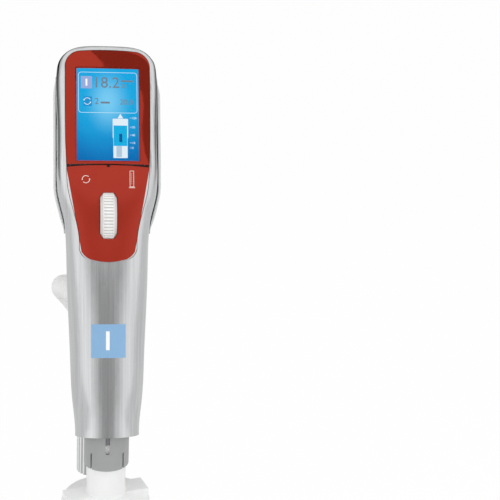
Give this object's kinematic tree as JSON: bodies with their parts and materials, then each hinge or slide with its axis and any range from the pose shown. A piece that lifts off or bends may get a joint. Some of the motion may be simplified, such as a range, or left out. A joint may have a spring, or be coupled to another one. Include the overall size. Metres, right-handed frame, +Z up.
{
  "type": "ultrapure water dispensing handset",
  "caption": "Leaning hand-held water dispenser with display head, thumb wheel, rocking control panel, push-on point-of-use filter and hose inlet.",
  "frame": {"origin": "middle of the flat dock pad on the back of the head, where the handset hangs in its holder", "axes": "+Z up along the upright nozzle and filter, -Y the side of the display, +X to the right of somebody facing the display"},
  "size_m": [0.0884, 0.213, 0.4435],
  "materials": {
    "silver_shell": "satin metallic paint",
    "red_fascia": "glossy",
    "window": "clear over a blue display",
    "screen": "glossy",
    "rail_metal": "brushed",
    "wheel_white": "matte",
    "collar_grey": "satin",
    "filter_white": "matte",
    "base_grey": "matte",
    "steel": "plain",
    "seal": "matte",
    "hose_grey": "matte",
    "tube_clear": "translucent",
    "board_green": "plain",
    "membrane": "matte",
    "brass_parts": "plain",
    "label_blue": "printed"
  },
  "bodies": {
    "handset": {"front_shell": "silver_shell", "rear_shell": "silver_shell", "display_bezel": "red_fascia", "display_lens": "window", "fascia_gasket": "seal", "panel_pin_lower": "steel", "panel_pin_upper": "steel", "wheel_axle": "steel", "wheel_carrier": "base_grey", "wheel_sensor": "board_green", "side_rail_left": "rail_metal", "side_rail_right": "rail_metal", "rail_screw_left_1": "steel", "rail_screw_left_2": "steel", "rail_screw_right_1": "steel", "rail_screw_right_2": "steel", "nozzle_base": "base_grey", "spigot": "filter_white", "spigot_ring_upper": "seal", "spigot_ring_lower": "seal", "collar_spring": "steel", "inlet_union": "base_grey", "inlet_sleeve": "filter_white", "hose_nut": "base_grey", "hose": "hose_grey", "hose_ferrule": "base_grey", "hose_connector": "brass_parts", "connector_ring": "seal", "dispense_valve": "base_grey", "valve_coil": "brass_parts", "inlet_tube": "tube_clear", "outlet_tube": "tube_clear", "display_module": "screen", "circuit_board": "board_green", "push_switch_left": "base_grey", "push_switch_right": "base_grey", "ribbon_cable": "tube_clear", "printed_label": "label_blue", "shell_screw_1": "steel", "shell_screw_2": "steel", "shell_screw_3": "steel", "shell_screw_4": "steel"},
    "flow_wheel": {"thumb_wheel": "wheel_white"},
    "rocker": {"control_panel": "red_fascia"},
    "collar": {"release_collar": "collar_grey"},
    "filter": {"filter_upper": "filter_white", "filter_lower": "filter_white", "filter_core": "filter_white", "filter_disc_1": "membrane", "filter_disc_2": "membrane", "filter_disc_3": "membrane", "filter_disc_4": "membrane", "filter_disc_5": "membrane"}
  },
  "joints": [
    {"name": "wheel_turn", "type": "hinge", "parent": "handset", "child": "flow_wheel", "pos_m": [0, -0.05418, -0.05477], "axis": [1, 0, 0], "range_deg": [0, 60]},
    {"name": "panel_rock", "type": "hinge", "parent": "handset", "child": "rocker", "pos_m": [0, -0.06131, -0.05309], "axis": [0, 0.309, 0.9511], "range_deg": [-1.2, 1.2], "stiffness_Nm_per_rad": 2},
    {"name": "collar_lift", "type": "slide", "parent": "handset", "child": "collar", "axis": [0, 0, 1], "range_m": [0, 0.007], "stiffness_N_per_m": 250, "springref_m": -0.004, "deforming": ["collar_spring"]},
    {"name": "filter_pull", "type": "slide", "parent": "handset", "child": "filter", "axis": [0, 0, -1], "range_m": [0, 0.03]}
  ]
}
